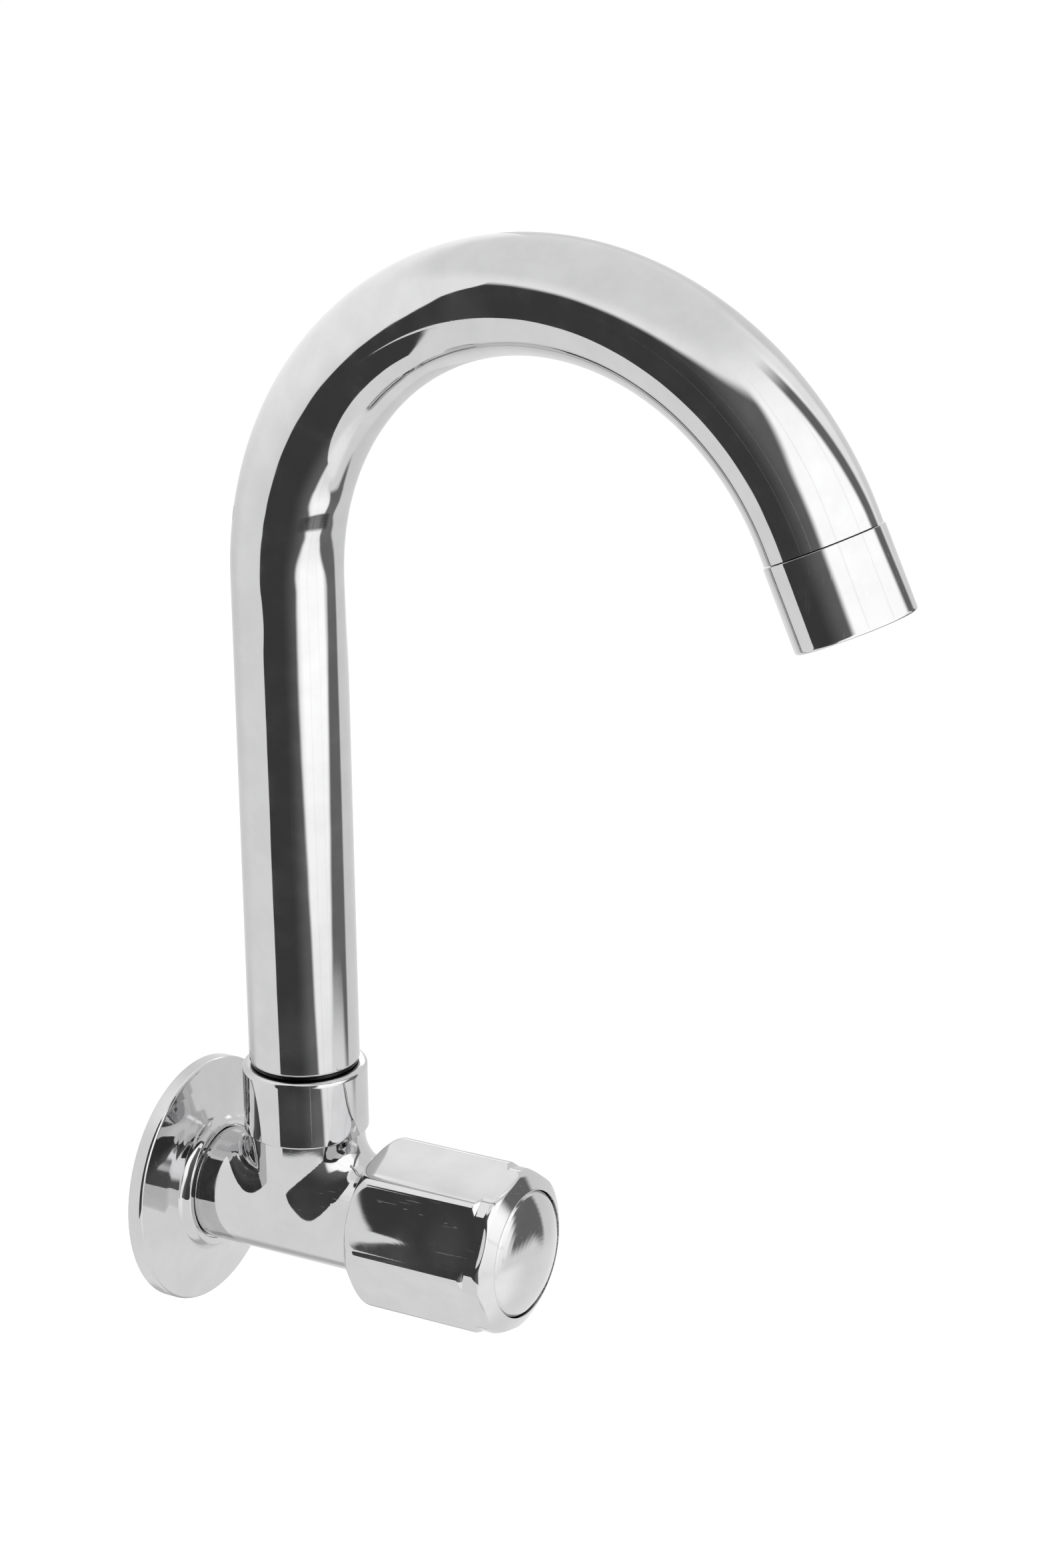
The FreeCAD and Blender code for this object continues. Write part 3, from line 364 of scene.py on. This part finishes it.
def finish_mesh(build, name, crease=40):
    bmesh.ops.recalc_face_normals(build, faces=build.faces)
    mesh = bpy.data.meshes.new(name)
    build.to_mesh(mesh)
    build.free()
    mesh.shade_smooth()
    mesh.set_sharp_from_angle(angle=math.radians(crease))
    return mesh


def fit_piece(name, mesh, material, node, body):
    """A new piece, in place of the CAD model's node."""
    piece = add_object(name, mesh, material)
    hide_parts(node)
    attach(piece, body)


def turn_piece(name, corners, place, material, node, body):
    build = bmesh.new()
    skin_rings(build, lathe_rings(round_corners(corners)), place)
    fit_piece(name, finish_mesh(build, name), material, node, body)


def outside_casting(points):
    """How far points are outside the blended barrel and neck."""
    x, y, z = points.T
    from_barrel = np.hypot(x, z)
    from_neck = np.hypot(x, y - crossing)
    alike = (x * x) / np.maximum(from_barrel * from_neck, 1e-9)
    gap_barrel = from_barrel - barrel
    gap_neck = np.maximum(from_neck - neck, -z)
    radius = blend * (1 - np.clip(alike, 0, 1)) ** 0.4
    corner = np.hypot(np.maximum(radius - gap_barrel, 0), np.maximum(radius - gap_neck, 0))
    return np.maximum(radius, np.minimum(gap_barrel, gap_neck)) - corner


rough_length, rough_middle, rough_height, voxel, passes = 0.062, -0.0275, 0.026, 0.00055, 8
rough_cast = bmesh.new()
bmesh.ops.create_cone(
    rough_cast, cap_ends=True, segments=96, radius1=barrel, radius2=barrel, depth=rough_length,
    matrix=Matrix.Translation((0, rough_middle, 0)) @ Matrix.Rotation(math.pi / 2, 4, "X"))
bmesh.ops.create_cone(
    rough_cast, cap_ends=True, segments=96, radius1=neck, radius2=neck, depth=rough_height,
    matrix=Matrix.Translation((0, crossing, rough_height / 2)))
rough = bpy.data.objects.new("rough_cast", finish_mesh(rough_cast, "rough_cast"))
bpy.context.scene.collection.objects.link(rough)
remesh = rough.modifiers.new("remesh", "REMESH")
remesh.mode = "VOXEL"
remesh.voxel_size = voxel
evaluated = rough.evaluated_get(bpy.context.evaluated_depsgraph_get())
cast = bpy.data.meshes.new_from_object(evaluated)
bpy.data.objects.remove(rough)

# The rough casting's points move onto the blended surface.
nudge = 1e-6
points = np.empty(len(cast.vertices) * 3)
cast.vertices.foreach_get("co", points)
points = points.reshape(-1, 3)
for _ in range(passes):
    reach = outside_casting(points)
    slope = [outside_casting(points + step) - reach for step in np.eye(3) * nudge]
    slope = np.stack(slope, 1) / nudge
    points -= slope * (reach / np.maximum((slope ** 2).sum(1), 0.25))[:, None]
cast.vertices.foreach_set("co", points.ravel())
casting = bmesh.new()
casting.from_mesh(cast)
for spot, outward in (((0, shank_shoulder, 0), (0, 1, 0)), ((0, barrel_end, 0), (0, -1, 0)),
                      ((0, 0, neck_top), (0, 0, 1))):
    bmesh.ops.bisect_plane(casting, geom=casting.verts[:] + casting.edges[:] + casting.faces[:],
                           plane_co=spot, plane_no=outward, clear_outer=True)

# Inside of the barrel, with the seat; then the thread on the shank, and the neck's socket.
skin_rings(casting, lathe_rings(round_corners([
    (54.2, 13.25, 0), (54.5, 12.95, 0), (54.5, 10.5, 0), (43.5, 10.5, 0), (43.5, 9.6, 0),
    (23.3, 9.6, 0), (23.3, 8.5, 0), (24.5, 8.5, 0.3), (24.5, 7, 0.3), (-9.5, 7, 0),
])), LEVEL, closed=False)
thread_root, thread_depth, thread_pitch = 9.32, 1.157, 1.814
shank_end, thread_run, thread_rows, thread_sides = -9.5, 10, 72, 96
thread = []
for row in range(thread_rows):
    along = shank_end + thread_run * row / (thread_rows - 1)
    ring = []
    for step in range(thread_sides):
        angle = 2 * math.pi * step / thread_sides
        turns = along / thread_pitch - step / thread_sides
        swell = 0.5 + 0.5 * math.cos(2 * math.pi * turns)
        chamfer = 9.0 + 0.9 * (along + 9.8)
        out = min(thread_root + thread_depth * swell ** 0.8, chamfer)
        ring.append((out * math.cos(angle), out * math.sin(angle), along))
    thread.append(ring)
inner_edge = lathe_rings([(shank_end, 7)], thread_sides)
shoulder = lathe_rings([(0.5, 13.25)], thread_sides)
skin_rings(casting, inner_edge + thread + shoulder, LEVEL, closed=False)
skin_rings(casting, lathe_rings([
    (20.3, 13.4), (20.3, 12.75), (28.4, 12.75), (28.4, 10), (10.8, 10), (10.8, 7.4),
]), UPRIGHT, closed=False)
body_chrome = plate_with_chrome("body_chrome", (1, 0.08, 1), 0.3)
fit_piece("cast_tap_body", finish_mesh(casting, "cast_tap_body", 50), body_chrome,
          "tap_body", "tap")


# Wall flange: pressed from brass sheet, with a turned-back rim that rests on the wall and a
# hollow curve up to a rolled lip that slides on the barrel.
flange_chrome = plate_with_chrome("flange_chrome", (1, 1, 0.3), 1.1)
turn_piece("pressed_wall_flange", [
    (0, 29.1, 0.2), (3.6, 29.1, 0.8), (4.9, 20.5, 14), (6.0, 16.2, 3.2), (7.75, 15.0, 0.8),
    (7.75, 13.45, 0.35), (5.7, 13.45, 0), (5.2, 14.4, 1.5), (3.7, 20.5, 4), (2.4, 26.7, 0.8),
    (0, 27.9, 0.2),
], LEVEL, flange_chrome, "wall_flange", "tap")


# Swivel collar: a plain round nut, turned from brass bar and polished. It screws on the neck and
# its inner lip keeps the spout in; its top edge is rolled over in a full round.
collar_chrome = plate_with_chrome("collar_chrome", (1, 1, 0.1), 2.3, [(-0.0128, -0.0375, 0.028)])
turn_piece("turned_collar", [
    (19.7, 12.8, 0), (19.7, 14.4, 0.35), (35.7, 14.4, 2.2), (35.7, 12.0, 0.25), (33.3, 12.0, 0),
    (33.3, 12.8, 0),
], UPRIGHT, collar_chrome, "swivel_collar", "tap")


# Spout tube: one-inch brass tube, bent over a former and polished along its length. The former
# pinched it a little on the inside where the bend starts, and left ripples there, with a rougher
# scuff whose darker colour is painted shade.
tube, bore, foot_rounding = 12.7, 11.5, 0.7
foot, straight, bend, bend_turn, last_straight = 36.6, 151, 69.4, math.radians(155), 3
riser_steps, bend_steps = 40, 180
stations = [(0, foot + (straight - foot) * step / riser_steps, 0) for step in range(riser_steps)]
for step in range(bend_steps + 1):
    angle = bend_turn * step / bend_steps
    stations.append((bend * (1 - math.cos(angle)), straight + bend * math.sin(angle), angle))
end_x = stations[-1][0] + last_straight * math.sin(bend_turn)
end_z = stations[-1][1] + last_straight * math.cos(bend_turn)
stations.append((end_x, end_z, bend_turn))


def tube_ring(station, radius, count=144):
    x, z, angle = station
    ring = []
    for step in range(count):
        phase = 2 * math.pi * step / count
        out = radius * math.cos(phase)
        ring.append((x + out * math.cos(angle), radius * math.sin(phase),
                     z - out * math.sin(angle)))
    return ring


build = bmesh.new()
foot_round = []
for step in range(9, 0, -1):
    angle = math.radians(10 * step)
    height = foot + foot_rounding - foot_rounding * math.sin(angle)
    radius = tube - foot_rounding + foot_rounding * math.cos(angle)
    foot_round.append(tube_ring((0, height, 0), radius))
stations[:1] = [(0, foot + foot_rounding, 0), (0, foot + foot_rounding + 0.1, 0)]
outer = foot_round + [tube_ring(station, tube) for station in stations]
inner = [tube_ring(station, bore) for station in reversed([(0, foot, 0), *stations[1:]])]
skin_rings(build, outer + inner, UPRIGHT)


ripple_pitch, mark_side = 0.006, 0.0057


def along_the_bend(tone, place):
    """Lines that run up the riser and round the bend, and what the former left where it starts:
    ripples, and a rougher scuff whose darker colour is painted shade.

    Heights are in metres over the tap's level line, and lane is how far out of the bend's inside.
    """
    spout_axes = tone.node("Mapping", {"vector_type": "TEXTURE"}, Vector=place,
                           Location=(0, crossing, 0), Rotation=(0, 0, spout_rest))
    out, beside, height = (tone.node("SeparateXYZ", out=axis, Vector=spout_axes) for axis in "XYZ")
    rise = (height - 0.001 * straight).maths("MAXIMUM", 0)
    inward = 0.001 * bend - out
    lane = 0.001 * bend - (inward * inward + rise * rise).maths("SQRT")
    rippled = height.between(0.160, 0.165) * (1 - height.between(0.167, 0.174))
    rippled = rippled * lane.between(0.001, 0.006)
    ripples = 0.4 * rippled * (height * (2 * math.pi / ripple_pitch)).maths("SINE")
    off_mark = beside + mark_side
    pinched = height.between(0.153, 0.1655) * (1 - height.between(0.167, 0.174))
    pinched = pinched * lane.between(0, 0.003)
    ripples = ripples + 8 * pinched * (1 - off_mark.maths("ABSOLUTE").between(0, 0.006))
    # A rougher scuff near the bend's start, darkened in colour: the darkening is painted shade.
    arched = height + 60 * off_mark * off_mark
    scuff_and_painted_shade = height.between(0.1640, 0.1652) * (1 - arched.between(0.1680, 0.1686))
    scuff_and_painted_shade = scuff_and_painted_shade * off_mark.between(-0.0042, -0.0022) * (1 - off_mark.between(0.0012, 0.0024))
    return tone.node("CombineXYZ", X=lane, Y=beside, Z=height), ripples, scuff_and_painted_shade


spout_chrome = plate_with_chrome("spout_chrome", (1, 1, 0.06), 3.7, [
    (-0.0115, -0.0364, 0.046), (-0.0070, -0.0437, 0.166), (-0.0165, -0.0857, 0.217),
], follow=along_the_bend)
fit_piece("bent_spout_tube", finish_mesh(build, "bent_spout_tube"), spout_chrome,
          "spout_tube", "spout")


# Aerator shell: a short ring, turned and polished, that screws on the nipple in the tube's end
# and leaves a hair-thin seam there. A ledge inside it carries the insert.
OUTLET = (UPRIGHT @ Matrix.Translation((end_x, 0, end_z))
          @ Matrix.Rotation(bend_turn - math.pi, 4, "Y"))
aerator_chrome = plate_with_chrome("aerator_chrome", (1, 1, 0.1), 4.9)
turn_piece("turned_aerator_shell", [
    (-0.25, 11.35, 0), (-0.25, 13.0, 0.12), (-18.75, 13.0, 0.7), (-18.75, 10.6, 0.35),
    (-12.0, 10.6, 0), (-12.0, 11.35, 0),
], OUTLET, aerator_chrome, "aerator_shell", "spout")


# Knob: cast brass, hollow, with seven shallow flutes ground into it by a drum, so that soft ridges
# stand between them. A splined boss inside sits on the spindle.
flutes, first_ridge, valley, drum = 7, math.radians(-13.4), 17.7, 43
runout_start, runout, ridge_softness, edge_softness = 85.8, 4, 2.5, 0.35
ground_from, ground_above, row_gap, knob_sides = 49.9, 15, 0.4, flutes * 48
outside = round_corners([
    (49.2, 13.75, 0), (49.2, 14.2, 0.25), (52.715, 20.05, 4.2), (82.3, 20.05, 0.25),
    (83.3, 19.05, 0.5), (86.7, 19.05, 2.2), (88.95, 14.95, 0.3), (88.95, 14.7, 0),
], 12)
knob_rows = []
for low, high in zip(outside, outside[1:]):
    parts = max(1, math.ceil((high - low).length / row_gap))
    knob_rows += [low.lerp(high, step / parts) for step in range(parts)]
hollow = [
    (88.95, 14.7), (85.75, 14.7), (85.75, 13.2), (79, 13.2), (79, 7), (80, 7), (80, 2.3),
    (78.54, 2.3), (78.54, 3.96), (69.2, 3.96), (69.2, 7), (76, 7), (76, 15.4), (54, 15.4),
    (53, 13.75),
]


def lower_of(one, other, softness):
    mix = max(0, min(1, 0.5 + 0.5 * (one - other) / softness))
    return one * (1 - mix) + other * mix - softness * mix * (1 - mix)


def ground_radius(along, out, angle):
    """The turned radius, cut down by the two flutes nearest to that angle."""
    spacing = 2 * math.pi / flutes
    floor_radius = valley
    if along > runout_start:
        floor_radius += runout - math.sqrt(max(runout ** 2 - (along - runout_start) ** 2, 0))
    centre = valley + drum
    wheel = centre - floor_radius
    off_centre = abs((angle - first_ridge) % spacing - spacing / 2)
    cuts = []
    for off in (off_centre, spacing - off_centre):
        inside_drum = wheel ** 2 - (centre * math.sin(off)) ** 2
        cut = centre * math.cos(off) - math.sqrt(inside_drum) if inside_drum > 0 else 2 * out
        cuts.append(cut)
    return lower_of(lower_of(*cuts, ridge_softness), out, edge_softness)


fluted = [(along, out, along > ground_from and out > ground_above) for along, out in knob_rows]
plain = [(along, out, False) for along, out in hollow]
knob_rings = []
for along, out, ground in fluted + plain:
    ring = []
    for step in range(knob_sides):
        angle = 2 * math.pi * step / knob_sides
        radius = ground_radius(along, out, angle) if ground else out
        ring.append((-radius * math.sin(angle), radius * math.cos(angle), along))
    knob_rings.append(ring)
build = bmesh.new()
skin_rings(build, knob_rings, LEVEL)
knob_touches = [(-0.0160, -0.0775, 0.0075), (-0.0185, -0.066, 0.001)]
knob_dents = [(-0.0140, -0.0590, 0.0121), (-0.0141, -0.0657, 0.0119), (-0.0142, -0.0700, 0.0115),
              (-0.0144, -0.0765, 0.0110), (-0.0146, -0.0790, 0.0106)]
knob_chrome = plate_with_chrome("knob_chrome", (1, 0.2, 1), 6.1, knob_touches, knob_dents)
fit_piece("fluted_knob", finish_mesh(build, "fluted_knob", 35), knob_chrome,
          "knob", "handle")


# Index cap: a thin dome with a plain face, pressed from brass sheet. It clips into the front of
# the knob and hides the screw.
dome_radius, dome_centre, dome_middle = 28, 64.7, 0.02
dome = [(dome_centre + math.sqrt(dome_radius ** 2 - out ** 2), out, 0)
        for out in (dome_middle, *range(1, 14))]
cap_chrome = plate_with_chrome("cap_chrome", (1, 1, 1), 7.7)
turn_piece("domed_index_cap", [
    *dome, (89.06, 13.8, 0.4), (88.3, 14.58, 0.6), (85.75, 14.58, 0), (85.75, 13.1, 0),
    (81.75, 13.1, 0), (81.75, 11.8, 0), (88.6, 11.8, 0), (91.4, dome_middle, 0),
], LEVEL, cap_chrome, "index_cap", "handle")


# Headwork, spindle, jumper and small steel pieces: turned, drawn or punched, with fine tool rings
# and a little tarnish. The ferrule and the nipple are painted near black, as painted shade for the
# dark gaps that they show through.
def plain_metal(name, low, high, rough_low, rough_high, seed):
    made, tone = start_material(name)
    place = tone.node("TexCoord", out="Object")
    place = tone.node("Mapping", Vector=place, Location=(seed, -seed, seed))
    stain = tone.node("TexNoise", Vector=place, Scale=220, Detail=4, Roughness=0.6)
    stain = stain.between(0.35, 0.7)
    squeezed = tone.node("Mapping", Vector=place, Scale=(0.1, 1, 0.1))
    rings = tone.node("TexNoise", Vector=squeezed, Scale=3000, Detail=2)
    tint = tone.node("ValToRGB", {"stops": [(0.0, low), (1.0, high)]}, Fac=stain)
    rough = rough_low + (rough_high - rough_low) * stain
    bumped = tone.node("Bump", Height=rings, Strength=0.6, Distance=0.00003)
    surface = tone.node("BsdfPrincipled", Base_Color=tint, Metallic=1.0, Roughness=rough,
                        Normal=bumped)
    tone.node("OutputMaterial", Surface=surface)
    return made


def finish_nodes(stuff, *nodes):
    for node in nodes:
        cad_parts[node].material_slots[0].material = stuff


finish_nodes(plain_metal("turned_brass", (0.48, 0.30, 0.10), (0.72, 0.51, 0.22), 0.2, 0.4, 0.4),
             "headwork_body", "gland_follower", "gland_nut", "jumper_valve", "jumper_nut",
             "spindle")
finish_nodes(plain_metal("drawn_steel", (0.30, 0.30, 0.31), (0.55, 0.55, 0.56), 0.22, 0.4, 1.9),
             "knob_screw", "snap_ring", "aerator_screen")
# Ferrule and nipple: near black, painted shade for the gaps at the collar and the aerator's seam.
finish_nodes(plain_metal("painted_gap_shade_metal", (0.02, 0.02, 0.02), (0.06, 0.06, 0.06), 0.3, 0.5, 2.6),
             "spout_ferrule", "outlet_nipple")


# Washers, seals, packing and the outlet's insert: rubber, fibre and moulded plastic, each with the
# skin that its mould or press leaves.
def soft_stuff(name, low, high, rough_low, rough_high, grain):
    made, tone = start_material(name)
    place = tone.node("TexCoord", out="Object")
    mottle = tone.node("TexNoise", Vector=place, Scale=grain, Detail=4, Roughness=0.6)
    tint = tone.node("ValToRGB", {"stops": [(0.3, low), (0.7, high)]}, Fac=mottle)
    rough = rough_low + (rough_high - rough_low) * mottle
    bumped = tone.node("Bump", Height=mottle, Strength=0.5, Distance=0.00005)
    surface = tone.node("BsdfPrincipled", Base_Color=tint, Roughness=rough, Normal=bumped)
    tone.node("OutputMaterial", Surface=surface)
    return made


finish_nodes(soft_stuff("black_rubber", (0.018, 0.018, 0.018), (0.035, 0.034, 0.033),
                        0.45, 0.7, 900),
             "jumper_washer", "spout_o_rings", "aerator_washer")
finish_nodes(soft_stuff("red_fibre", (0.32, 0.06, 0.04), (0.5, 0.13, 0.09), 0.6, 0.9, 1800),
             "headwork_washer")
finish_nodes(soft_stuff("white_packing", (0.72, 0.72, 0.70), (0.86, 0.86, 0.84),
                        0.35, 0.55, 600),
             "gland_packing", "slip_washers")
finish_nodes(soft_stuff("grey_insert", (0.50, 0.51, 0.52), (0.62, 0.63, 0.64), 0.25, 0.4, 400),
             "aerator_insert")
